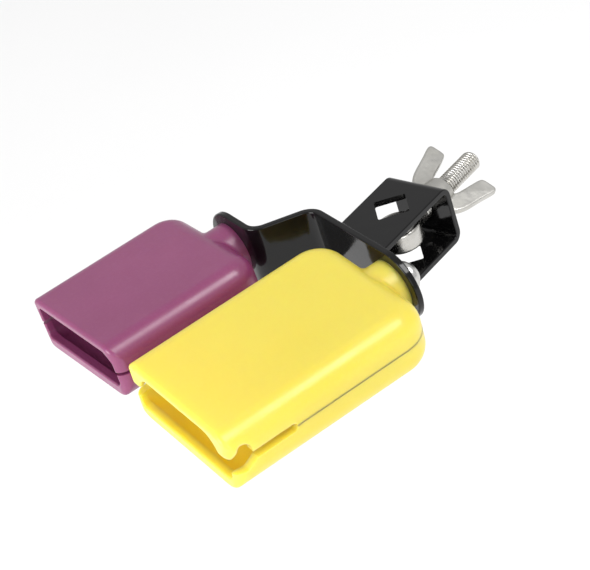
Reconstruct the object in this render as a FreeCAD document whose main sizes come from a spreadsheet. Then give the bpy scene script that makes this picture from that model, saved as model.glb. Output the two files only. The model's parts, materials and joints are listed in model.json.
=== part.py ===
import FreeCAD, Part
import math, os
import Sketcher
from FreeCAD import Vector as V, Placement, Rotation

# Two-tone bell block set on a cranked bracket with a rod clamp.
# Frame: origin at the centre of the eye-bolt ring, +Z along the rod the ring holds,
# -Y towards the open mouths of the blocks, +X from the high block to the low block. Millimetres.
os.makedirs("parts", exist_ok=True)
doc = FreeCAD.newDocument("cowbell")
sh = doc.addObject("Spreadsheet::Sheet", "sizes")
SIZES = [
    # blocks
    ("low_w", 66.37), ("low_ht", 25.86), ("low_len", 90.17), ("low_edge_r", 8.62), ("low_corner_r", 12.93),
    ("high_w", 64.31), ("high_ht", 23.27), ("high_len", 67.58), ("high_edge_r", 7.33), ("high_corner_r", 10.78),
    ("wall", 3.45), ("front_corner_r", 5.17), ("neck_r", 10.78), ("neck_len", 5.86), ("neck_fillet", 2.59),
    ("boss_r", 7.75), ("boss_len", 6.9), ("low_roll", 4.6), ("high_roll", -3.2),
    # mouths: top of the front lip, side limits, and the slit behind each mouth
    ("low_lip_z", -7.41), ("low_mouth_x", 29.31), ("low_crown_x", 24.83), ("low_crown_r", 7.76),
    ("low_slit_len", 28.02), ("low_slit_lo", -1.03), ("low_slit_hi", 2.76),
    ("high_lip_z", -6.55), ("high_mouth_x", 28.1), ("high_crown_x", 28.1), ("high_crown_r", 4.48),
    ("high_slit_len", 20.69), ("high_slit_lo", -0.86), ("high_slit_hi", 0.43),
    ("notch_len", 9.22), ("notch_top", 7.67), ("notch_low", -3.71), ("notch_tip", 3.62),
    # strap
    ("strap_thick", 2.59), ("strap_ht", 29.31), ("strap_bend_r", 7.33), ("strap_edge_r", 0.6),
    ("low_x", 24.14), ("low_y", -19.91), ("high_x", -49.13), ("high_y", -42.5),
    ("crank_x1", -32.45), ("crank_x2", -23.33), ("face_gap", 0.05),
    # clamp yoke
    ("yoke_w", 26.72), ("yoke_ht", 24.65), ("yoke_thick", 2.41), ("yoke_back", 18.1), ("yoke_bend_r", 4.31),
    ("yoke_yaw", 16.5), ("diamond_side", 12.07), ("yoke_bolt_hole_r", 4.3),
    # eye bolt, washer, wing nut
    ("eye_or", 8.84), ("eye_ir", 5.39), ("eye_thick", 8.6), ("shank_r", 4.0), ("shank_end", 49.13),
    ("pitch", 1.25), ("nut_bore_r", 4.06), ("nw_or", 7.33), ("nw_ir", 4.3), ("nw_thick", 1.4),
    ("hub_r1", 6.7), ("hub_r2", 5.6), ("hub_ht", 8.96), ("wing_thick", 2.76), ("wing_span", 31.89),
    ("nut_ht", 23.0), ("wing_tilt", 28.5), ("seat_gap", 0.05),
    # block screws
    ("screw_r", 2.95), ("screw_hole_r", 3.3), ("head_r", 6.0), ("head_ht", 4.2), ("screw_len", 16.0),
    ("lw_or", 5.9), ("lw_ir", 3.1), ("lw_thick", 1.6), ("fw_or", 9.0), ("fw_ir", 3.2), ("fw_thick", 1.4),
    ("insert_r", 4.5), ("insert_bore_r", 3.0), ("insert_len", 10.0),
]
for i, (k, v) in enumerate(SIZES):
    sh.set("A%d" % (i + 1), k)
    sh.set("B%d" % (i + 1), repr(v))
    sh.setAlias("B%d" % (i + 1), k)
doc.recompute()
Z = {k: float(sh.get(k)) for k, v in SIZES}


def E(obj, prop, expr):
    obj.setExpression(prop, expr)


def new_body(label):
    b = doc.addObject("PartDesign::Body", label)
    b.Label = label
    return b


def plane(body, role):
    for o in body.Origin.OriginFeatures:
        if o.Role == role:
            return o
    raise RuntimeError(role)


def sketch(body, role, name, off=0.0, off_expr=None):
    s = body.newObject("Sketcher::SketchObject", name)
    s.AttachmentSupport = [(plane(body, role), "")]
    s.MapMode = "FlatFace"
    s.AttachmentOffset = Placement(V(0, 0, off), Rotation())
    if off_expr:
        E(s, "AttachmentOffset.Base.z", off_expr)
    return s


def poly(s, pts, radii=None):
    """closed outline through pts, each corner rounded by its radius"""
    n = len(pts)
    radii = radii or [0.0] * n
    P = [V(p[0], p[1], 0) for p in pts]
    ins, outs, arcs = [], [], []
    for i in range(n):
        a, b, c = P[i - 1], P[i], P[(i + 1) % n]
        r = radii[i]
        if r <= 1e-9:
            ins.append(b); outs.append(b); arcs.append(None)
            continue
        u = (a - b).normalize(); w = (c - b).normalize()
        ang = math.acos(max(-1, min(1, u.dot(w))))
        tl = r / math.tan(ang / 2)
        p1 = b + u * tl
        p2 = b + w * tl
        m = (u + w).normalize()
        mid = b + m * (r / math.sin(ang / 2) - r)
        ins.append(p1); outs.append(p2); arcs.append(Part.Arc(p1, mid, p2))
    for i in range(n):
        if arcs[i] is not None:
            s.addGeometry(arcs[i], False)
        j = (i + 1) % n
        if (outs[i] - ins[j]).Length > 1e-6:
            s.addGeometry(Part.LineSegment(outs[i], ins[j]), False)


def rect(s, x0, y0, x1, y1, r=0.0):
    rr = r if isinstance(r, (list, tuple)) else [r] * 4
    poly(s, [(x0, y0), (x1, y0), (x1, y1), (x0, y1)], rr)


def circle(s, x, y, r, alias=None):
    k = s.addGeometry(Part.Circle(V(x, y, 0), V(0, 0, 1), r), False)
    c = s.addConstraint(Sketcher.Constraint("Radius", k, r))
    if alias:
        s.setExpression("Constraints[%d]" % c, "sizes.%s" % alias)


def vol(body):
    return body.Shape.Volume if body.Shape and not body.Shape.isNull() else 0.0


def ok(f):
    return not (set(f.State) & {"Invalid", "Error"}) and not f.Shape.isNull() and f.Shape.isValid()


def feat(body, kind, sk, name, length, expr=None, expect=None):
    """pad or pocket with a one-sided length; the sense that changes the solid as wanted is kept"""
    doc.recompute()
    v0 = vol(body)
    f = body.newObject("PartDesign::" + kind, name)
    f.Profile = sk
    f.Length = length
    if expr:
        E(f, "Length", expr)
    sk.Visibility = False
    doc.recompute()
    good = ok(f) and abs(vol(body) - v0) > 1e-3
    if expect is not None and good:
        good = expect(f.Shape)
    if not good:
        f.Reversed = not f.Reversed
        doc.recompute()
    if not ok(f) or abs(vol(body) - v0) < 1e-3:
        raise RuntimeError("%s %s" % (body.Label, name))
    body.Tip = f
    return f


def dress(body, kind, name, picker, size, expr=None, tries=(1.0, 0.7, 0.45)):
    """fillet or chamfer on the edges the picker accepts"""
    doc.recompute()
    base = body.Tip
    names = ["Edge%d" % (i + 1) for i, e in enumerate(base.Shape.Edges) if picker(e)]
    if not names:
        raise RuntimeError("no edges for %s %s" % (body.Label, name))
    for k in tries:
        f = body.newObject("PartDesign::" + kind, name)
        f.Base = (base, names)
        if kind == "Fillet":
            f.Radius = size * k
            if expr and k == 1.0:
                E(f, "Radius", expr)
        else:
            f.Size = size * k
            if expr and k == 1.0:
                E(f, "Size", expr)
        doc.recompute()
        if ok(f) and len(f.Shape.Solids) == 1:
            body.Tip = f
            return f
        body.removeObject(f)
        doc.removeObject(f.Name)
        body.Tip = base
        doc.recompute()
    print("dress-up left out:", body.Label, name)
    return None


def mid(e):
    return e.valueAt((e.FirstParameter + e.LastParameter) / 2.0)


def near(a, b, tol=0.02):
    return abs(a - b) < tol


def round_edge(e, r):
    """a circular edge of radius r"""
    try:
        return isinstance(e.Curve, Part.Circle) and near(e.Curve.Radius, r)
    except TypeError:
        return False


def place(b, base, rot, exprs=()):
    b.Placement = Placement(base, rot)


OUT = []


# ------------------------------------------------------------------ bell blocks
def case(b, label, W, H, rear, reach, ER, CR, exprs):
    """slab with a rounded plan at its rear end and every long edge rounded"""
    s = sketch(b, "XY_Plane", label + "_plan", -H / 2, "-(%s) / 2" % exprs["H"])
    rect(s, -W / 2, reach, W / 2, rear, [0, 0, CR, CR])
    feat(b, "Pad", s, label + "_pad", H, exprs["H"])
    dress(b, "Fillet", label + "_edges",
          lambda e: (near(mid(e).z, H / 2) or near(mid(e).z, -H / 2)) and mid(e).y > reach + 0.1,
          ER, exprs["R"])


def block(label, P, slit_alias, notch):
    """hollow block, neck axis on Y, neck face at y = 0, mouth towards -Y"""
    W, H, L = Z[P + "_w"], Z[P + "_ht"], Z[P + "_len"]
    ER, CR = Z[P + "_edge_r"], Z[P + "_corner_r"]
    w, nl = Z["wall"], Z["neck_len"]
    rear, front = -nl, -(nl + L)
    b = new_body(label)
    # the space inside, the outline set in by the wall, with a flat front face
    core = new_body(label + "_core")
    case(core, label + "_core", W - 2 * w, H - 2 * w, rear - w, front + w, ER - w, CR - w,
         {"H": "sizes.%s_ht - 2 * sizes.wall" % P, "R": "sizes.%s_edge_r - sizes.wall" % P})
    # outer slab, longer than needed at the mouth end
    case(b, label, W, H, rear, front - 20, ER, CR, {"H": "sizes.%s_ht" % P, "R": "sizes.%s_edge_r" % P})
    # square off the mouth end and round its corners in plan
    s = sketch(b, "XY_Plane", label + "_mouth_plan", -H, "-sizes.%s_ht" % P)
    fr = Z["front_corner_r"]
    k = W / 2 + 0.10                      # the corner arcs cross the side walls instead of grazing them
    poly(s, [(-W, front - 40), (W, front - 40), (W, front + fr + 6), (k, front + fr + 6),
             (k, front), (-k, front), (-k, front + fr + 6), (-W, front + fr + 6)],
         [0, 0, 0, 0, fr, fr, 0, 0])
    feat(b, "Pocket", s, label + "_mouth_trim", 2 * H, "2 * sizes.%s_ht" % P)
    dress(b, "Fillet", label + "_front_edges",
          lambda e: e.Length > 4 and near(e.BoundBox.YMax, front, 0.3) and near(e.BoundBox.YMin, front, 0.3)
          and abs(mid(e).z) > H / 2 - 0.3, 1.7)
    # neck
    s = sketch(b, "XZ_Plane", label + "_neck")
    circle(s, 0, 0, Z["neck_r"], "neck_r")
    feat(b, "Pad", s, label + "_neck_pad", nl + 8.6, None, lambda q: q.BoundBox.YMax > -0.01 and q.BoundBox.YMax < 0.01)
    dress(b, "Fillet", label + "_neck_root",
          lambda e: near(math.hypot(mid(e).x, mid(e).z), Z["neck_r"], 0.03) and rear - 12 < mid(e).y < rear + 1
          and e.BoundBox.XLength + e.BoundBox.ZLength > 1.0,
          Z["neck_fillet"], "sizes.neck_fillet")
    # hollow
    iw, ih = W - 2 * w, H - 2 * w
    ir = max(ER - w, 2.0)
    doc.recompute()
    v0 = vol(b)
    cut = b.newObject("PartDesign::Boolean", label + "_hollow")
    cut.setObjects([core])
    cut.Type = 1
    doc.recompute()
    if not ok(cut) or vol(b) > 0.7 * v0:
        raise RuntimeError(label + " hollow")
    b.Tip = cut
    # boss for the screw insert inside the hollow
    s = sketch(b, "XZ_Plane", label + "_boss_ring", nl + w - 0.5)
    circle(s, 0, 0, Z["boss_r"], "boss_r")
    feat(b, "Pad", s, label + "_boss", Z["boss_len"] + 0.5, "sizes.boss_len + 0.5",
         lambda q: q.isInside(V(0, rear - w - Z["boss_len"] + 0.5, 0), 0.01, True))
    # mouth: the front wall is open from the low front lip up to the roof
    s = sketch(b, "XZ_Plane", label + "_mouth_sk", nl + L - w - 6)
    x, cx, cr, lz = Z[P + "_mouth_x"], Z[P + "_crown_x"], Z[P + "_crown_r"], Z[P + "_lip_z"]
    if cx < x - 0.1:
        # thicker upper corners, stepping in where the scallop cuts the wall away
        poly(s, [(-x, lz), (x, lz), (x, 1.3), (cx, 1.3), (cx, ih / 2), (-cx, ih / 2), (-cx, 1.3), (-x, 1.3)],
             [2.6, 2.6, 0, 0, cr, cr, 0, 0])
    else:
        poly(s, [(-x, lz), (x, lz), (x, ih / 2), (-x, ih / 2)], [2.6, 2.6, cr, cr])
    feat(b, "Pocket", s, label + "_mouth", w + 12, None, lambda q: not q.isInside(V(0, front + 0.5, ih / 4), 0.01, True))
    # slit along both side walls behind the mouth
    sl = Z[slit_alias]
    s = sketch(b, "YZ_Plane", label + "_slit_sk", -W, "-sizes.%s_w" % P)
    z0, z1 = Z[P + "_slit_lo"], Z[P + "_slit_hi"]
    er = (z1 - z0) * 0.49
    poly(s, [(front - 5, z0), (front + sl, z0), (front + sl, z1), (front - 5, z1)], [0, er, er, 0])
    feat(b, "Pocket", s, label + "_slit", 2 * W, "2 * sizes.%s_w" % P)
    if notch:
        # scallop through the slit at each front corner, under a short hanging tip
        s = sketch(b, "YZ_Plane", label + "_notch_sk", -W, "-sizes.%s_w" % P)
        nl2, nt, nb, tip = Z["notch_len"], Z["notch_top"], Z["notch_low"], Z["notch_tip"]
        poly(s, [(front - 5, nb), (front + nl2 - 3.45, nb), (front + nl2 + 1.3, z0 + 0.17), (front + nl2, z0 + 1.03), (front + nl2, nt),
                 (front + 4.48, nt), (front + 1.2, tip), (front - 5, tip)], [0, 2.6, 0.34, 0, 3.62, 1.9, 1.03, 0])
        feat(b, "Pocket", s, label + "_notch", 2 * W, "2 * sizes.%s_w" % P)
    # blind hole for the insert
    s = sketch(b, "XZ_Plane", label + "_insert_sk")
    circle(s, 0, 0, Z["insert_r"], "insert_r")
    feat(b, "Pocket", s, label + "_insert_hole", Z["insert_len"] + 3.5, "sizes.insert_len + 3.5",
         lambda q: not q.isInside(V(0, -1, 0), 0.01, True))
    # soften the mouth rims
    dress(b, "Fillet", label + "_lip_soft",
          lambda e: e.Length > 17 and near(e.BoundBox.YMax, front, 0.05) and near(e.BoundBox.YMin, front, 0.05)
          and abs(mid(e).z) < H / 2 - w + 0.1, 0.78)
    if not b.Shape.isValid():
        raise RuntimeError(label + " is not a valid solid")
    return b


def v_full(q):
    bb = q.BoundBox
    return bb.XLength * bb.YLength * bb.ZLength


YR = V(0, 1, 0)
low_face = Z["low_y"] - Z["strap_thick"] / 2 - Z["face_gap"]
high_face = Z["high_y"] - Z["strap_thick"] / 2 - Z["face_gap"]
low_rear = Z["low_y"] + Z["strap_thick"] / 2
high_rear = Z["high_y"] + Z["strap_thick"] / 2

lowb = block("low_block", "low", "low_slit_len", True)
highb = block("high_block", "high", "high_slit_len", False)
LOWP = Placement(V(Z["low_x"], low_face, 0), Rotation(YR, Z["low_roll"]))
HIGHP = Placement(V(Z["high_x"], high_face, 0), Rotation(YR, Z["high_roll"]))


def bind_block(b, P):
    E(b, "Placement.Base.x", "sizes.%s_x" % P)
    E(b, "Placement.Base.y", "sizes.%s_y - sizes.strap_thick / 2 - sizes.face_gap" % P)
    E(b, "Placement.Rotation.Angle", "sizes.%s_roll" % P)


for b, P, pl in ((lowb, "low", LOWP), (highb, "high", HIGHP)):
    pl = Placement(pl.Base, Rotation(YR, abs(Z[P + "_roll"])) if Z[P + "_roll"] > 0 else pl.Rotation)
    b.Placement = pl
    if Z[P + "_roll"] > 0:
        bind_block(b, P)
    else:
        E(b, "Placement.Base.x", "sizes.%s_x" % P)
        E(b, "Placement.Base.y", "sizes.%s_y - sizes.strap_thick / 2 - sizes.face_gap" % P)
OUT += [lowb, highb]

# ------------------------------------------------------------------ screws, washers, inserts
for P, pl in (("low", lowb.Placement), ("high", highb.Placement)):
    st = Z["strap_thick"] + 2 * Z["face_gap"]           # from neck face to flat washer
    # brass insert in the neck
    b = new_body(P + "_block_insert")
    s = sketch(b, "XZ_Plane", P + "_ins_sk", 0.8)
    circle(s, 0, 0, Z["insert_r"], "insert_r")
    feat(b, "Pad", s, P + "_ins_pad", Z["insert_len"], "sizes.insert_len", lambda q: q.BoundBox.YMax < -0.7)
    s = sketch(b, "XZ_Plane", P + "_ins_bore_sk", 0.0)
    circle(s, 0, 0, Z["insert_bore_r"], "insert_bore_r")
    feat(b, "Pocket", s, P + "_ins_bore", 30, None)
    dress(b, "Chamfer", P + "_ins_ch", lambda e: round_edge(e, Z["insert_r"]), 0.5)
    b.Placement = pl
    OUT.append(b)
    # flat washer
    b = new_body(P + "_flat_washer")
    s = sketch(b, "XZ_Plane", P + "_fw_sk", -st)
    circle(s, 0, 0, Z["fw_or"], "fw_or")
    circle(s, 0, 0, Z["fw_ir"], "fw_ir")
    feat(b, "Pad", s, P + "_fw_pad", Z["fw_thick"], "sizes.fw_thick", lambda q: q.BoundBox.YMin > st - 0.01)
    dress(b, "Chamfer", P + "_fw_ch", lambda e: round_edge(e, Z["fw_or"]), 0.25)
    b.Placement = pl
    OUT.append(b)
    # split lock washer
    y1 = st + Z["fw_thick"]
    b = new_body(P + "_lock_washer")
    s = sketch(b, "XZ_Plane", P + "_lw_sk", -y1)
    circle(s, 0, 0, Z["lw_or"], "lw_or")
    circle(s, 0, 0, Z["lw_ir"], "lw_ir")
    feat(b, "Pad", s, P + "_lw_pad", Z["lw_thick"], "sizes.lw_thick", lambda q: q.BoundBox.YMin > y1 - 0.01)
    s = sketch(b, "XZ_Plane", P + "_lw_cut_sk", 0.0)
    poly(s, [(1.0, -0.5), (9.0, -0.1), (9.0, 0.9), (1.0, 0.5)])
    feat(b, "Pocket", s, P + "_lw_cut", 30, None)
    b.Placement = pl
    OUT.append(b)
    # pan-head screw with a cross recess
    y2 = y1 + Z["lw_thick"]
    b = new_body(P + "_block_screw")
    s = sketch(b, "YZ_Plane", P + "_scr_sk", 0.0)
    hr, hh, sr = Z["head_r"], Z["head_ht"], Z["screw_r"]
    ye = y2 - Z["screw_len"]
    poly(s, [(ye, 0), (ye, sr - 0.7), (ye + 0.7, sr), (y2, sr), (y2, hr), (y2 + hh * 0.45, hr), (y2 + hh, hr * 0.55), (y2 + hh, 0)],
         [0, 0, 0, 0, 0.4, 1.8, 2.0, 0])
    f = b.newObject("PartDesign::Revolution", P + "_scr_rev")
    f.Profile = s
    f.ReferenceAxis = (s, ["H_Axis"])
    f.Angle = 360
    doc.recompute()
    b.Tip = f
    s = sketch(b, "XZ_Plane", P + "_scr_cross_sk", -(y2 + hh + 1))
    q, k = 2.6, 0.55
    poly(s, [(-q, -k), (-k, -k), (-k, -q), (k, -q), (k, -k), (q, -k), (q, k), (k, k), (k, q), (-k, q), (-k, k), (-q, k)])
    feat(b, "Pocket", s, P + "_scr_cross", 3.2, None, lambda sh_: not sh_.isInside(V(0, y2 + hh - 0.5, 0), 0.01, True)
         and sh_.isInside(V(0, y2, 0), 0.01, True))
    b.Placement = pl
    OUT.append(b)

# ------------------------------------------------------------------ strap, on edge, cranked in plan
b = new_body("bracket_strap")
t, hS, R = Z["strap_thick"], Z["strap_ht"], Z["strap_bend_r"]
x0 = Z["high_x"] - hS / 2
x3 = Z["low_x"] + hS / 2
c1, c2 = V(Z["crank_x1"], Z["high_y"], 0), V(Z["crank_x2"], Z["low_y"], 0)
dv = (c2 - c1).normalize()
turn = math.atan2(dv.y, dv.x)
k = (t / 2) * math.tan(turn / 2)
# the two faces of the bar, offset either way from its mid line
front_pts = [(x0, Z["high_y"] - t / 2), (c1.x + k, c1.y - t / 2), (c2.x + k, c2.y - t / 2), (x3, Z["low_y"] - t / 2)]
rear_pts = [(x3, Z["low_y"] + t / 2), (c2.x - k, c2.y + t / 2), (c1.x - k, c1.y + t / 2), (x0, Z["high_y"] + t / 2)]
s = sketch(b, "XY_Plane", "strap_plan", -hS / 2, "-sizes.strap_ht / 2")
poly(s, front_pts + rear_pts, [0, R + t / 2, R - t / 2, 0, 0, R + t / 2, R - t / 2, 0])
feat(b, "Pad", s, "strap_pad", hS, "sizes.strap_ht")
# full-round ends
s = sketch(b, "XZ_Plane", "strap_ends", -20)
big = 60
poly(s, [(x0 - 20, -big), (x3 + 20, -big), (x3 + 20, big), (x0 - 20, big)])
poly(s, [(x0, -hS / 2), (x3, -hS / 2), (x3, hS / 2), (x0, hS / 2)], [hS / 2 - 0.001] * 4)
feat(b, "Pocket", s, "strap_end_trim", 120, None, lambda q: not q.isInside(V(x0 + 0.5, Z["high_y"], hS / 2 - 0.5), 0.01, True)
     and not q.isInside(V(x3 - 0.5, Z["low_y"], hS / 2 - 0.5), 0.01, True))
s = sketch(b, "XZ_Plane", "strap_holes", -20)
circle(s, Z["low_x"], 0, Z["screw_hole_r"], "screw_hole_r")
circle(s, Z["high_x"], 0, Z["screw_hole_r"], "screw_hole_r")
feat(b, "Pocket", s, "strap_hole_cut", 120, None, lambda q: not q.isInside(V(Z["low_x"], Z["low_y"], 0), 0.01, True)
     and not q.isInside(V(Z["high_x"], Z["high_y"], 0), 0.01, True))
dress(b, "Fillet", "strap_edges", lambda e: e.Length > 5.2 and abs(mid(e).z) > 3.6 and (e.BoundBox.ZLength < 0.01 or e.BoundBox.XLength > 5)
      and not (e.BoundBox.XLength < 0.01 and e.BoundBox.YLength < 0.01), Z["strap_edge_r"], "sizes.strap_edge_r")
OUT.append(b)

# ------------------------------------------------------------------ clamp yoke: plate bent to a U, open at its sides
yaw = Z["yoke_yaw"]
ca, sa = math.cos(math.radians(yaw)), math.sin(math.radians(yaw))
b = new_body("clamp_yoke")
ty, hy, yb, rb = Z["yoke_thick"], Z["yoke_ht"], Z["yoke_back"], Z["yoke_bend_r"]
s = sketch(b, "YZ_Plane", "yoke_profile", -Z["yoke_w"] / 2, "-sizes.yoke_w / 2")
poly(s, [(-45, hy / 2 - ty), (yb - ty, hy / 2 - ty), (yb - ty, -hy / 2 + ty), (-45, -hy / 2 + ty), (-45, -hy / 2), (yb, -hy / 2), (yb, hy / 2),
         (-45, hy / 2)], [0, rb - ty, rb - ty, 0, 0, rb, rb, 0])
feat(b, "Pad", s, "yoke_pad", Z["yoke_w"], "sizes.yoke_w")
# legs end on the strap's rear face, which is skewed to the yoke
s = sketch(b, "XY_Plane", "yoke_front", -40)


def to_yoke(x, y):
    return (x * ca + y * sa, -x * sa + y * ca)


poly(s, [to_yoke(-60, low_rear), to_yoke(-60, low_rear - 60), to_yoke(60, low_rear - 60), to_yoke(60, low_rear)])
feat(b, "Pocket", s, "yoke_front_trim", 80, None)
# square rod holes set cornerwise, through both legs
s = sketch(b, "XY_Plane", "yoke_diamond", -40)
dd = Z["diamond_side"] / math.sqrt(2)
poly(s, [(-dd, 0), (0, -dd), (dd, 0), (0, dd)], [0.7] * 4)
feat(b, "Pocket", s, "yoke_diamond_cut", 80, None)
s = sketch(b, "XZ_Plane", "yoke_bolt", 0)
circle(s, 0, 0, Z["yoke_bolt_hole_r"], "yoke_bolt_hole_r")
feat(b, "Pocket", s, "yoke_bolt_cut", 40, None, lambda q: not q.isInside(V(0, yb - ty / 2, 0), 0.01, True))
dress(b, "Fillet", "yoke_edges", lambda e: e.Length > 3 and near(abs(mid(e).x), Z["yoke_w"] / 2, 0.01) and e.BoundBox.XLength < 0.01, 0.45)
b.Placement = Placement(V(0, 0, 0), Rotation(V(0, 0, 1), yaw))
E(b, "Placement.Rotation.Angle", "sizes.yoke_yaw")
OUT.append(b)

# ------------------------------------------------------------------ eye bolt
b = new_body("eye_bolt")
te, ro, ri, sr = Z["eye_thick"], Z["eye_or"], Z["eye_ir"], Z["shank_r"]
s = sketch(b, "XY_Plane", "eye_ring", -te / 2, "-sizes.eye_thick / 2")
circle(s, 0, 0, ro, "eye_or")
feat(b, "Pad", s, "eye_pad", te, "sizes.eye_thick")
dress(b, "Fillet", "eye_round", lambda e: round_edge(e, ro), 1.4)
s = sketch(b, "XZ_Plane", "eye_shank", -(ro - 2.5))
circle(s, 0, 0, sr, "shank_r")
feat(b, "Pad", s, "eye_shank_pad", Z["shank_end"] - ro + 2.5, "sizes.shank_end - sizes.eye_or + 2.5", lambda q: q.BoundBox.YMax > 45)
s = sketch(b, "XY_Plane", "eye_bore", -20)
circle(s, 0, 0, ri, "eye_ir")
feat(b, "Pocket", s, "eye_bore_cut", 40, None)
dress(b, "Chamfer", "eye_tip", lambda e: e.Closed and near(mid(e).y, Z["shank_end"], 0.02) and e.BoundBox.YLength < 0.1, 0.9)
b.Placement = Placement(V(0, 0, 0), Rotation(V(0, 0, 1), yaw))
E(b, "Placement.Rotation.Angle", "sizes.yoke_yaw")
OUT.append(b)

# ------------------------------------------------------------------ washer and wing nut on the back wall
b = new_body("wing_nut_washer")
s = sketch(b, "XZ_Plane", "nw_sk", -yb, "-sizes.yoke_back")
circle(s, 0, 0, Z["nw_or"], "nw_or")
circle(s, 0, 0, Z["nw_ir"], "nw_ir")
feat(b, "Pad", s, "nw_pad", Z["nw_thick"], "sizes.nw_thick", lambda q: q.BoundBox.YMin > yb - 0.01)
dress(b, "Chamfer", "nw_ch", lambda e: round_edge(e, Z["nw_or"]), 0.25)
b.Placement = Placement(V(0, 0, 0), Rotation(V(0, 0, 1), yaw))
E(b, "Placement.Rotation.Angle", "sizes.yoke_yaw")
OUT.append(b)

b = new_body("wing_nut")
yn = yb + Z["nw_thick"] + Z["seat_gap"]
h1, h2, hh = Z["hub_r1"], Z["hub_r2"], Z["hub_ht"]
s = sketch(b, "YZ_Plane", "nut_hub_sk")
poly(s, [(yn, 0), (yn, h1), (yn + 1.7, h1), (yn + hh, h2), (yn + hh, 0)], [0, 0.4, 0.8, 0.8, 0])
f = b.newObject("PartDesign::Revolution", "nut_hub")
f.Profile = s
f.ReferenceAxis = (s, ["H_Axis"])
f.Angle = 360
doc.recompute()
b.Tip = f
# two upright paddles, one outline mirrored across the bolt axis
wt, sp, nh = Z["wing_thick"], Z["wing_span"] / 2, Z["nut_ht"]
s = sketch(b, "XY_Plane", "nut_wing_sk", -wt / 2, "-sizes.wing_thick / 2")
wing = [(4.8, yn + 1.0), (h1 + 2.7, yn + 2.2), (12.4, yn + 6.6), (sp, yn + nh), (8.0, yn + nh), (4.8, yn + hh - 0.5)]
wr = [0, 3.0, 6.0, 3.6, 3.6, 0]
poly(s, wing, wr)
feat(b, "Pad", s, "nut_wing_a", wt, "sizes.wing_thick")
s = sketch(b, "XY_Plane", "nut_wing_sk2", -wt / 2, "-sizes.wing_thick / 2")
poly(s, [(-p[0], p[1]) for p in reversed(wing)], list(reversed(wr)))
feat(b, "Pad", s, "nut_wing_b", wt, "sizes.wing_thick")
s = sketch(b, "XZ_Plane", "nut_bore_sk", -(yn - 5))
circle(s, 0, 0, Z["nut_bore_r"], "nut_bore_r")
feat(b, "Pocket", s, "nut_bore", 60, None, lambda q: not q.isInside(V(0, yn + 2, 0), 0.01, True) and not q.isInside(V(0, yn + hh - 1, 0), 0.01, True))
dress(b, "Fillet", "nut_wing_edges", lambda e: e.Length > 2.5 and near(abs(mid(e).z), wt / 2, 0.01) and abs(mid(e).x) > h1 + 0.6 and e.Length > 6, 0.9)
b.Placement = Placement(V(0, 0, 0), Rotation(V(0, 0, 1), yaw) * Rotation(V(0, 1, 0), Z["wing_tilt"]))
OUT.append(b)

doc.recompute()
bad = []
for o in doc.Objects:
    if set(o.State) & {"Invalid", "Error"}:
        bad.append(o.Name)
for b in OUT:
    S = b.Shape
    if S.isNull() or not S.isValid() or len(S.Solids) != 1:
        bad.append("%s solids %d" % (b.Label, len(S.Solids)))
    bb = S.BoundBox
    print("%-18s vol %10.1f  x %.1f %.1f  y %.1f %.1f  z %.1f %.1f" % (b.Label, S.Volume, bb.XMin, bb.XMax, bb.YMin, bb.YMax, bb.ZMin, bb.ZMax))
if bad:
    raise RuntimeError("bad: %s" % bad)
for b in OUT:
    b.Shape.exportStep("parts/%s.step" % b.Label)
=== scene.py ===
import json
import math

import bmesh
import bpy
from mathutils import Matrix, Vector


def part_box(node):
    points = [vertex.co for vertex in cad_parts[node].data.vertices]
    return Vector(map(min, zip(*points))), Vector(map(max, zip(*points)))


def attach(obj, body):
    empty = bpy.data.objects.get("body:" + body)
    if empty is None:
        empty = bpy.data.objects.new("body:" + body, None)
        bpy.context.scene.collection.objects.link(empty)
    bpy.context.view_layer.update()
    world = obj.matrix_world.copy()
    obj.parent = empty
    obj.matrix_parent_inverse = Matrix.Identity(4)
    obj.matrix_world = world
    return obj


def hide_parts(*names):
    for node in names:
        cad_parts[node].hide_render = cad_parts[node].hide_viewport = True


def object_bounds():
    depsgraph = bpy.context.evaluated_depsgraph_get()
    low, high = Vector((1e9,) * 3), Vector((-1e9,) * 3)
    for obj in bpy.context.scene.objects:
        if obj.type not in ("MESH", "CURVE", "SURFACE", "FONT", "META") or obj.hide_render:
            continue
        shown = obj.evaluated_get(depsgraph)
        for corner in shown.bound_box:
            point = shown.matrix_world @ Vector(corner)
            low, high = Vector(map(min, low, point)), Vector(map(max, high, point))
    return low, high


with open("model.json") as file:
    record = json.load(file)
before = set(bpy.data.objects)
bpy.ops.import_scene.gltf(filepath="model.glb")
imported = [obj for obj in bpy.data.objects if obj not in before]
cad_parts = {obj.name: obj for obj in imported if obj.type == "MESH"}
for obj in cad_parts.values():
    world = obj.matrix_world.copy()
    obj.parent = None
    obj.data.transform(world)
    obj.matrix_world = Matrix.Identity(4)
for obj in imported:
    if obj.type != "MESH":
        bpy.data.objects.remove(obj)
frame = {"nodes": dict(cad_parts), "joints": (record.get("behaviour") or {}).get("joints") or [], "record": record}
LO0, HI0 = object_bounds()
nodes = frame["nodes"]
record = frame["record"]
joints = {j["name"]: j for j in frame["joints"]}
scene = bpy.context.scene
MM = 0.001


# ---------------------------------------------------------------- node helpers
def new_mat(name):
    m = bpy.data.materials.new(name)
    m.use_nodes = True
    nt = m.node_tree
    nt.nodes.clear()
    out = nt.nodes.new("ShaderNodeOutputMaterial")
    b = nt.nodes.new("ShaderNodeBsdfPrincipled")
    nt.links.new(b.outputs["BSDF"], out.inputs["Surface"])
    return m, nt, b


def coords(nt, scale=(1, 1, 1)):
    tc = nt.nodes.new("ShaderNodeTexCoord")
    mp = nt.nodes.new("ShaderNodeMapping")
    mp.inputs["Scale"].default_value = scale
    nt.links.new(tc.outputs["Object"], mp.inputs["Vector"])
    return mp.outputs["Vector"]


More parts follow.
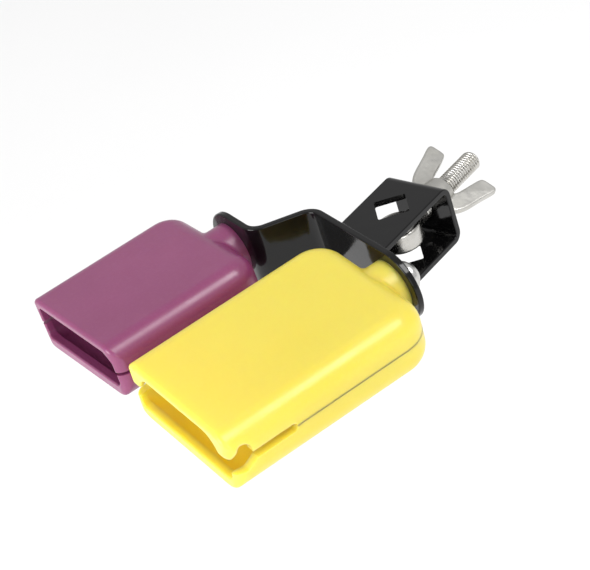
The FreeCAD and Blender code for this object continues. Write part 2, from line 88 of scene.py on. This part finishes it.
def noise(nt, vec, scale, detail=3.0, rough=0.5, distort=0.0):
    n = nt.nodes.new("ShaderNodeTexNoise")
    n.inputs["Scale"].default_value = scale
    n.inputs["Detail"].default_value = detail
    n.inputs["Roughness"].default_value = rough
    n.inputs["Distortion"].default_value = distort
    nt.links.new(vec, n.inputs["Vector"])
    return n.outputs["Fac"]


def ramp(nt, fac, stops):
    r = nt.nodes.new("ShaderNodeValToRGB")
    e = r.color_ramp.elements
    while len(e) < len(stops):
        e.new(0.5)
    for k, (p, c) in enumerate(stops):
        e[k].position = p
        e[k].color = (c, c, c, 1) if isinstance(c, (int, float)) else (*c, 1)
    nt.links.new(fac, r.inputs["Fac"])
    return r.outputs["Color"]


def to_range(nt, fac, a, b, lo=0.3, hi=0.7):
    r = nt.nodes.new("ShaderNodeMapRange")
    r.inputs["From Min"].default_value = lo
    r.inputs["From Max"].default_value = hi
    r.inputs["To Min"].default_value = a
    r.inputs["To Max"].default_value = b
    nt.links.new(fac, r.inputs["Value"])
    return r.outputs["Result"]


def mix(nt, fac, a, b, kind="MIX"):
    m = nt.nodes.new("ShaderNodeMix")
    m.data_type = "RGBA"
    m.blend_type = kind
    if isinstance(fac, (int, float)):
        m.inputs[0].default_value = fac
    else:
        nt.links.new(fac, m.inputs[0])
    for sock, v in ((m.inputs[6], a), (m.inputs[7], b)):
        if isinstance(v, tuple):
            sock.default_value = (*v, 1) if len(v) == 3 else v
        else:
            nt.links.new(v, sock)
    return m.outputs[2]


def math_node(nt, op, a, b):
    m = nt.nodes.new("ShaderNodeMath")
    m.operation = op
    for sock, v in ((m.inputs[0], a), (m.inputs[1], b)):
        if isinstance(v, (int, float)):
            sock.default_value = v
        else:
            nt.links.new(v, sock)
    return m.outputs[0]


def bump(nt, height, strength, distance, normal=None):
    b = nt.nodes.new("ShaderNodeBump")
    b.inputs["Strength"].default_value = strength
    b.inputs["Distance"].default_value = distance
    nt.links.new(height, b.inputs["Height"])
    if normal is not None:
        nt.links.new(normal, b.inputs["Normal"])
    return b.outputs["Normal"]


# ---------------------------------------------------------------- materials
def plastic(name, base, deep, light, rough=0.34, sss=0.06, depth=0.0016, coat=0.10):
    """moulded plastic: slow colour drift, satin sheen that varies, fine spark texture and hairline handling marks"""
    m, nt, b = new_mat(name)
    v = coords(nt)
    drift = noise(nt, v, 22.0, 4.0, 0.55)
    fleck = noise(nt, v, 900.0, 2.0, 0.5)
    c = mix(nt, to_range(nt, drift, 0.0, 1.0, 0.3, 0.7), deep, base)
    c = mix(nt, to_range(nt, fleck, 0.0, 0.10, 0.45, 0.75), c, light)
    nt.links.new(c, b.inputs["Base Color"])
    vs = coords(nt, (1.0, 0.05, 1.0))
    hair = noise(nt, vs, 1400.0, 2.0, 0.6)
    marks = ramp(nt, hair, [(0.0, 0.0), (0.66, 0.0), (0.72, 1.0)])
    r = to_range(nt, noise(nt, v, 60.0, 4.0, 0.6), rough - 0.05, rough + 0.08, 0.3, 0.7)
    r = math_node(nt, "ADD", r, math_node(nt, "MULTIPLY", marks, 0.06))
    nt.links.new(r, b.inputs["Roughness"])
    n1 = bump(nt, noise(nt, v, 1500.0, 2.0, 0.5), 0.10, 0.00010)
    n2 = bump(nt, noise(nt, v, 90.0, 2.0, 0.5), 0.10, 0.0004, n1)
    n3 = bump(nt, marks, 0.12, 0.00003, n2)
    nt.links.new(n3, b.inputs["Normal"])
    b.inputs["IOR"].default_value = 1.49
    b.inputs["Subsurface Weight"].default_value = sss
    b.inputs["Subsurface Radius"].default_value = (1.0, 0.8, 0.25)
    b.inputs["Subsurface Scale"].default_value = depth
    b.inputs["Coat Weight"].default_value = coat
    b.inputs["Coat Roughness"].default_value = 0.26
    return m


def black_paint(name):
    """gloss black stoved paint over steel: orange peel, soft dust, faint rub marks"""
    m, nt, b = new_mat(name)
    v = coords(nt)
    dust = ramp(nt, noise(nt, v, 160.0, 8.0, 0.68), [(0.0, 0.0), (0.6, 0.0), (0.86, 1.0)])
    c = mix(nt, math_node(nt, "MULTIPLY", dust, 0.03), (0.0035, 0.0034, 0.0036), (0.2, 0.19, 0.18))
    nt.links.new(c, b.inputs["Base Color"])
    r = to_range(nt, noise(nt, v, 120.0, 5.0, 0.6), 0.06, 0.13, 0.3, 0.7)
    rub = ramp(nt, noise(nt, coords(nt, (0.12, 1.0, 1.0)), 1100.0, 3.0, 0.6), [(0.0, 0.0), (0.64, 0.0), (0.71, 1.0)])
    r = math_node(nt, "ADD", r, math_node(nt, "MULTIPLY", rub, 0.10))
    nt.links.new(r, b.inputs["Roughness"])
    n1 = bump(nt, noise(nt, v, 620.0, 2.0, 0.5), 0.10, 0.00012)
    n2 = bump(nt, noise(nt, v, 110.0, 2.0, 0.5), 0.14, 0.0004, n1)
    nt.links.new(n2, b.inputs["Normal"])
    b.inputs["IOR"].default_value = 1.36
    b.inputs["Coat Weight"].default_value = 0.08
    b.inputs["Coat Roughness"].default_value = 0.05
    return m


def plated(name, base=(0.74, 0.73, 0.70), tint=(0.62, 0.60, 0.54), rough=0.22, cast=0.0, grain=(1, 1, 1), skin=0.10):
    """bright zinc or nickel plate: cloudy sheen, fine scratches, optional cast skin"""
    m, nt, b = new_mat(name)
    v = coords(nt)
    c = mix(nt, to_range(nt, noise(nt, v, 130.0, 6.0, 0.65), 0.0, 1.0, 0.32, 0.7), base, tint)
    nt.links.new(c, b.inputs["Base Color"])
    b.inputs["Metallic"].default_value = 1.0
    scr = noise(nt, coords(nt, grain), 1600.0, 4.0, 0.65)
    r = to_range(nt, noise(nt, v, 260.0, 5.0, 0.6), rough - 0.06, rough + 0.12, 0.3, 0.7)
    r = math_node(nt, "ADD", r, math_node(nt, "MULTIPLY", scr, 0.06))
    nt.links.new(r, b.inputs["Roughness"])
    n1 = bump(nt, scr, skin, 0.00006)
    if cast:
        n1 = bump(nt, noise(nt, v, 420.0, 4.0, 0.6), cast, 0.0003, n1)
    nt.links.new(n1, b.inputs["Normal"])
    return m


YELLOW = plastic("yellow_plastic", (0.875, 0.660, 0.096), (0.85, 0.635, 0.080), (0.92, 0.735, 0.17), 0.34, 1.0, 0.011)
PURPLE = plastic("purple_plastic", (0.265, 0.052, 0.152), (0.235, 0.042, 0.130), (0.34, 0.12, 0.235), 0.34, 0.10, 0.0020, 0.30)
BLACK = black_paint("black_paint")
ZINC_CAST = plated("zinc_cast", (0.60, 0.59, 0.56), (0.50, 0.49, 0.455), 0.30, 0.22)
ZINC_BOLT = plated("zinc_bolt", (0.60, 0.59, 0.565), (0.49, 0.475, 0.44), 0.20, 0.0, (1, 0.25, 1), 0.02)
STEEL = plated("plated_steel", (0.70, 0.70, 0.69), (0.56, 0.55, 0.52), 0.24, 0.05, (0.3, 1, 1))
BRASS = plated("brass", (0.74, 0.53, 0.22), (0.60, 0.40, 0.15), 0.28, 0.08)
FINISH = {"low_block": YELLOW, "high_block": PURPLE, "bracket_strap": BLACK, "clamp_yoke": BLACK, "eye_bolt": ZINC_BOLT,
          "wing_nut": ZINC_CAST, "low_block_insert": BRASS, "high_block_insert": BRASS}


def dress(o, mat):
    o.data.materials.clear()
    o.data.materials.append(mat)


for name, o in nodes.items():
    dress(o, FINISH.get(name, STEEL))


def smooth(me, angle=40.0):
    me.polygons.foreach_set("use_smooth", [True] * len(me.polygons))
    me.set_sharp_from_angle(angle=math.radians(angle))
    me.update()


def add(name, bm, mat, body, matrix=None, angle=40.0):
    me = bpy.data.meshes.new(name)
    bmesh.ops.recalc_face_normals(bm, faces=bm.faces)
    bm.to_mesh(me)
    bm.free()
    if matrix is not None:
        me.transform(matrix)
    smooth(me, angle)
    o = bpy.data.objects.new(name, me)
    scene.collection.objects.link(o)
    me.materials.append(mat)
    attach(o, body)
    return o


# ---------------------------------------------------------------- frames read from the record
slide = joints["eye_bolt_slide"]
AX = Vector(slide["axis"]).normalized()
YAW = math.atan2(-AX.x, AX.y)
YOKE = Matrix.Rotation(YAW, 4, "Z")


def grid(bm, rows, closed_u=True, cap0=False, cap1=False):
    """rows of vertices joined by quads"""
    vs = [[bm.verts.new(p) for p in r] for r in rows]
    n = len(rows[0])
    for i in range(len(vs) - 1):
        for j in range(n if closed_u else n - 1):
            k = (j + 1) % n
            bm.faces.new((vs[i][j], vs[i][k], vs[i + 1][k], vs[i + 1][j]))
    if cap0:
        bm.faces.new(list(reversed(vs[0])))
    if cap1:
        bm.faces.new(vs[-1])
    return vs


# ---------------------------------------------------------------- eye bolt with a rolled thread
def eye_bolt():
    bm = bmesh.new()
    ri, ro, hz, rr, ri_r = 5.39, 8.84, 4.3, 1.5, 0.7
    sec = []
    for cx, cz, r, a0 in ((ro - rr, hz - rr, rr, 0), (ri + ri_r, hz - ri_r, ri_r, 90), (ri + ri_r, -hz + ri_r, ri_r, 180), (ro - rr, -hz + rr, rr, 270)):
        for k in range(9):
            a = math.radians(a0 + k * 11.25)
            sec.append((cx + r * math.cos(a), cz + r * math.sin(a)))
    rows = []
    n = 160
    for i in range(n + 1):
        a = 2 * math.pi * i / n
        rows.append([(MM * x * math.cos(a), MM * x * math.sin(a), MM * z) for x, z in sec])
    vs = [[bm.verts.new(p) for p in r] for r in rows[:-1]]
    m = len(sec)
    for i in range(n):
        for j in range(m):
            bm.faces.new((vs[i][j], vs[(i + 1) % n][j], vs[(i + 1) % n][(j + 1) % m], vs[i][(j + 1) % m]))
    # forged neck, then a rolled thread to a chamfered tip
    end, r0, p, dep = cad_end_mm, 3.97, 1.25, 0.64
    t0 = 12.5
    seg, per = 72, 16
    rows = []
    for k in range(13):
        q = k / 12
        y = 7.2 + (t0 - 7.2) * q
        rx = 3.95 + 1.35 * (1 - q) ** 2.4          # the forging is wider across the ring than along the rod
        rz = 3.95 + 0.25 * (1 - q) ** 2.4
        rows.append([(MM * rx * math.sin(2 * math.pi * j / seg), MM * y, MM * rz * math.cos(2 * math.pi * j / seg)) for j in range(seg)])
    y = t0
    step = p / per
    while y < end - 1e-6:
        y = min(y + step, end)
        row = []
        for j in range(seg):
            a = j / seg
            w = 0.5 - 0.5 * math.cos(2 * math.pi * (y / p - a))
            fade = min(1.0, (y - t0) / 2.2)
            r = r0 - dep * w ** 0.8 * fade
            r = min(r, r0 - 1.05 + (end - y) * 0.95) if end - y < 1.2 else r
            row.append((MM * r * math.sin(2 * math.pi * a), MM * y, MM * r * math.cos(2 * math.pi * a)))
        rows.append(row)
    grid(bm, rows, True, True, True)
    return bm


lo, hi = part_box("eye_bolt")
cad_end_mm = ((Vector((0, 0, 0)) + AX * 0.04913).length) * 1000
o = add("eye_bolt_threaded", eye_bolt(), ZINC_BOLT, "eye", YOKE, 75)
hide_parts("eye_bolt")


# ---------------------------------------------------------------- cast wing nut
def wing_nut():
    """hub and two paddles run together as a casting, in the frame with Y on the bolt axis and the paddles along X"""
    yn = 19.6
    bm = bmesh.new()
    prof = [(0.0, 0.0), (6.2, 0.0), (6.7, 0.5), (6.7, 1.7), (6.4, 2.4), (5.7, 8.3), (5.3, 8.95), (4.7, 9.05), (0.0, 9.05)]
    n = 96
    rows = []
    for r, y in prof[1:-1]:
        rows.append([(r * math.sin(2 * math.pi * j / n), yn + y, r * math.cos(2 * math.pi * j / n)) for j in range(n)])
    grid(bm, rows, True, True, True)
    out = [(3.0, 1.2), (6.6, 1.2), (8.6, 1.7), (10.4, 3.2), (11.8, 5.4), (12.9, 8.6), (13.8, 12.6), (14.8, 17.0), (15.7, 20.2), (15.9, 21.9), (15.2, 23.0), (13.2, 23.1),
           (9.8, 23.1), (8.7, 22.6), (8.0, 20.8), (7.1, 17.2), (6.2, 13.4), (5.6, 10.6), (5.0, 9.2), (4.3, 8.5), (3.0, 8.2)]
    # Chaikin rounding of the outline
    pts = [Vector(q) for q in out]
    for _ in range(2):
        new = [pts[0]]
        for a, b in zip(pts[:-1], pts[1:]):
            new += [a * 0.75 + b * 0.25, a * 0.25 + b * 0.75]
        pts = new + [pts[-1]]
    for sx in (1, -1):
        rows = []
        for z, inset in ((-1.4, 0.65), (-1.18, 0.25), (-0.8, 0.05), (0.0, 0.0), (0.8, 0.05), (1.18, 0.25), (1.4, 0.65)):
            cxm = sum(q.x for q in pts) / len(pts)
            cym = sum(q.y for q in pts) / len(pts)
            row = []
            for q in pts:
                d = Vector((q.x - cxm, q.y - cym))
                k = max(0.0, 1 - inset / max(d.length, 1e-6))
                thick = 1.0 + 0.35 * max(0.0, 1 - (q.x - 3.0) / 6.0)
                row.append((sx * (cxm + d.x * k), yn + cym + d.y * k, z * thick))
            rows.append(row)
        grid(bm, rows, True, True, True)
    bmesh.ops.recalc_face_normals(bm, faces=bm.faces)
    me = bpy.data.meshes.new("wing_nut_raw")
    bm.to_mesh(me)
    bm.free()
    o = bpy.data.objects.new("wing_nut_raw", me)
    scene.collection.objects.link(o)
    rm = o.modifiers.new("remesh", "REMESH")
    rm.mode = "VOXEL"
    rm.voxel_size = 0.21
    sm = o.modifiers.new("smooth", "SMOOTH")
    sm.factor = 0.5
    sm.iterations = 9
    cut = bmesh.new()
    rows = []
    for y, r in ((yn - 2, 4.9), (yn + 0.05, 4.5), (yn + 0.5, 4.08), (yn + 8.5, 4.08), (yn + 9.1, 4.5), (yn + 12, 4.5)):
        rows.append([(r * math.sin(2 * math.pi * j / 72), y, r * math.cos(2 * math.pi * j / 72)) for j in range(72)])
    grid(cut, rows, True, True, True)
    bmesh.ops.recalc_face_normals(cut, faces=cut.faces)
    cme = bpy.data.meshes.new("nut_cut")
    cut.to_mesh(cme)
    cut.free()
    co = bpy.data.objects.new("nut_cut", cme)
    scene.collection.objects.link(co)
    bo = o.modifiers.new("bore", "BOOLEAN")
    bo.operation = "DIFFERENCE"
    bo.solver = "EXACT"
    bo.object = co
    dg = bpy.context.evaluated_depsgraph_get()
    made = bpy.data.meshes.new_from_object(o.evaluated_get(dg))
    bpy.data.objects.remove(o)
    bpy.data.objects.remove(co)
    made.transform(Matrix.Scale(MM, 4))
    return made


me = wing_nut()
TILT = math.radians(28.5)
me.transform(YOKE @ Matrix.Rotation(TILT, 4, "Y"))
smooth(me, 55)
o = bpy.data.objects.new("wing_nut_cast", me)
scene.collection.objects.link(o)
me.materials.clear()
me.materials.append(ZINC_CAST)
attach(o, "nut")
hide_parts("wing_nut")


# ---------------------------------------------------------------- parting line round each block
def block_frame(joint, roll):
    p = Vector(joints[joint]["pos_m"]) * 1000
    p.y -= 0.05
    return Matrix.Translation(p * MM) @ Matrix.Rotation(math.radians(roll), 4, "Y")


def seam(name, M, W, rear, front, slit, CR, mat, body, neck=13.7, zc=-0.22):
    """low rounded ridge at mid height from each slit's end, round the rear corners, to the neck"""
    for side in (1, -1):
        path = []
        y = front + slit - 0.15
        path.append(((W / 2), y, 1.0, 0.0))
        yc = rear - CR
        k = 24
        for i in range(1, 30):
            path.append((W / 2, y + (yc - y) * i / 29, 1.0, 0.0))
        for i in range(1, k + 1):
            a = math.pi / 2 * i / k
            path.append((W / 2 - CR + CR * math.cos(a), yc + CR * math.sin(a), math.cos(a), math.sin(a)))
        path.append((neck, rear, 0.0, 1.0))
        bm = bmesh.new()
        rows = []
        prof = [(-0.50, -0.06), (-0.30, 0.01), (-0.13, 0.07), (0.0, 0.09), (0.13, 0.07), (0.30, 0.01), (0.50, -0.06),
                (0.30, -0.35), (-0.30, -0.35)]
        L = len(path)
        for i, (x, yy, nx, ny) in enumerate(path):
            f = min(1.0, i / 2.0, (L - 1 - i) / 2.0) if 0 < i < L - 1 else 0.05
            rows.append([(MM * side * (x + nx * (h - 0.02) * f), MM * (yy + ny * (h - 0.02) * f), MM * (zc + z)) for z, h in prof])
        grid(bm, rows, True, True, True)
        add(name + ("_r" if side > 0 else "_l"), bm, mat, body, M, 60)


LOWM = block_frame("low_bell_turn", 4.6)
HIGHM = block_frame("high_bell_turn", -3.2)
seam("low_block_seam", LOWM, 66.37, -5.86, -5.86 - 90.17, 28.02, 12.93, YELLOW, "low_bell", zc=0.86)
seam("high_block_seam", HIGHM, 64.31, -5.86, -5.86 - 67.58, 20.69, 10.78, PURPLE, "high_bell")


# ---------------------------------------------------------------- weld beads where the yoke meets the strap
def bead(name, a, b, up, r=1.08):
    """short run of overlapping ripples, sunk into the corner it fills"""
    a, b, up = Vector(a), Vector(b), Vector(up)
    d = (b - a)
    L = d.length
    d.normalize()
    side = d.cross(up).normalized()
    n = int(L / 0.16)
    bm = bmesh.new()
    rows = []
    for i in range(n + 1):
        q = i / n
        x = q * L
        ripple = 1 + 0.10 * math.sin(x * 2 * math.pi / 1.15) + 0.04 * math.sin(x * 2.3 + 1.0)
        endf = min(1.0, math.sqrt(max(0.0, min(q, 1 - q) * L / 1.4)) + 0.02)
        rr = r * ripple * endf
        c = a + d * x + up * 0.05 * math.sin(x * 0.9)
        rows.append([tuple((c + side * rr * math.cos(2 * math.pi * j / 20) * 1.1 + up * rr * math.sin(2 * math.pi * j / 20) * 0.95) * MM) for j in range(20)])
    grid(bm, rows, True, True, True)
    return add(name, bm, BLACK, "bracket", None, 80)


yl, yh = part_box("clamp_yoke")
ys = yl.y * 1000                       # the legs end on the strap's rear face
xl = (-13.36 * math.cos(YAW) - (ys + 13.36 * math.sin(YAW)) * math.tan(YAW))
xr = (13.36 * math.cos(YAW) - (ys - 13.36 * math.sin(YAW)) * math.tan(YAW))
for sgn, nm in ((1, "top"), (-1, "bottom")):
    z = 12.33 * sgn
    bead("weld_%s_a" % nm, (xl + 0.5, ys + 0.3, z), (xl + 8.3, ys + 0.3, z), (0, 0.35, 0.94 * sgn))
    bead("weld_%s_b" % nm, (xr - 8.3, ys + 0.3, z), (xr - 0.5, ys + 0.3, z), (0, 0.35, 0.94 * sgn))

# ---------------------------------------------------------------- camera, floor, light
AZ, EL, ROLL, F_PX = math.radians(65.6), math.radians(34.46), math.radians(-18.72), 2392.0
S0, OX, OY = 2.68, 399.5, 233.0
fwd = Vector((-math.sin(AZ) * math.cos(EL), math.cos(AZ) * math.cos(EL), -math.sin(EL)))
right0 = fwd.cross(Vector((0, 0, 1))).normalized()
down0 = fwd.cross(right0)
cr, sr = math.cos(ROLL), math.sin(ROLL)
right = right0 * cr - down0 * sr
down = right0 * sr + down0 * cr
dist = F_PX / S0
T = Vector(((OX - 295.0) / F_PX * dist, (OY - 285.0) / F_PX * dist, dist))
C = -(right * T.x + down * T.y + fwd * T.z)
cam_data = bpy.data.cameras.new("camera")
cam = bpy.data.objects.new("camera", cam_data)
scene.collection.objects.link(cam)
cam_data.sensor_width = 36.0
cam_data.lens = F_PX * 36.0 / 590.0
cam_data.clip_start, cam_data.clip_end = 0.01, 50.0
m = Matrix((right, -down, -fwd)).transposed().to_4x4()
m.translation = C * MM
cam.matrix_world = m
scene.camera = cam

bm = bmesh.new()
bmesh.ops.create_grid(bm, x_segments=2, y_segments=2, size=6.0)
me = bpy.data.meshes.new("floor")
bm.to_mesh(me)
bm.free()
floor = bpy.data.objects.new("floor", me)
floor.location = (0, 0, LO0.z - 0.24)
scene.collection.objects.link(floor)
fm, fnt, fb = new_mat("floor_pale")
fc = mix(fnt, to_range(fnt, noise(fnt, coords(fnt), 3.0, 3.0), 0, 1), (0.93, 0.93, 0.93), (0.95, 0.95, 0.95))
fnt.links.new(fc, fb.inputs["Base Color"])
fb.inputs["Roughness"].default_value = 0.75
me.materials.append(fm)


def area(name, loc, target, size, power, size_y=None):
    d = bpy.data.lights.new(name, "AREA")
    d.energy = power
    d.size = size
    if size_y:
        d.shape = "RECTANGLE"
        d.size_y = size_y
    o = bpy.data.objects.new(name, d)
    scene.collection.objects.link(o)
    o.location = loc
    o.rotation_mode = "QUATERNION"
    o.rotation_quaternion = (Vector(target) - Vector(loc)).to_track_quat("-Z", "Y")
    return o


ctr = (LO0 + HI0) / 2
area("key", ctr + Vector((0.45, 0.34, 0.83)) * 2.4, ctr, 0.8, 27.0, 1.2)
area("fill", ctr + Vector((0.0, -0.97, 0.22)) * 2.4, ctr, 1.2, 44.0)
area("side", ctr + Vector((0.93, -0.25, 0.28)) * 2.4, ctr, 1.2, 12.0)
w = bpy.data.worlds.new("studio")
scene.world = w
w.use_nodes = True
bg = w.node_tree.nodes["Background"]
bg.inputs["Color"].default_value = (1, 1, 1, 1)
bg.inputs["Strength"].default_value = 0.62
scene.view_settings.view_transform = "Standard"
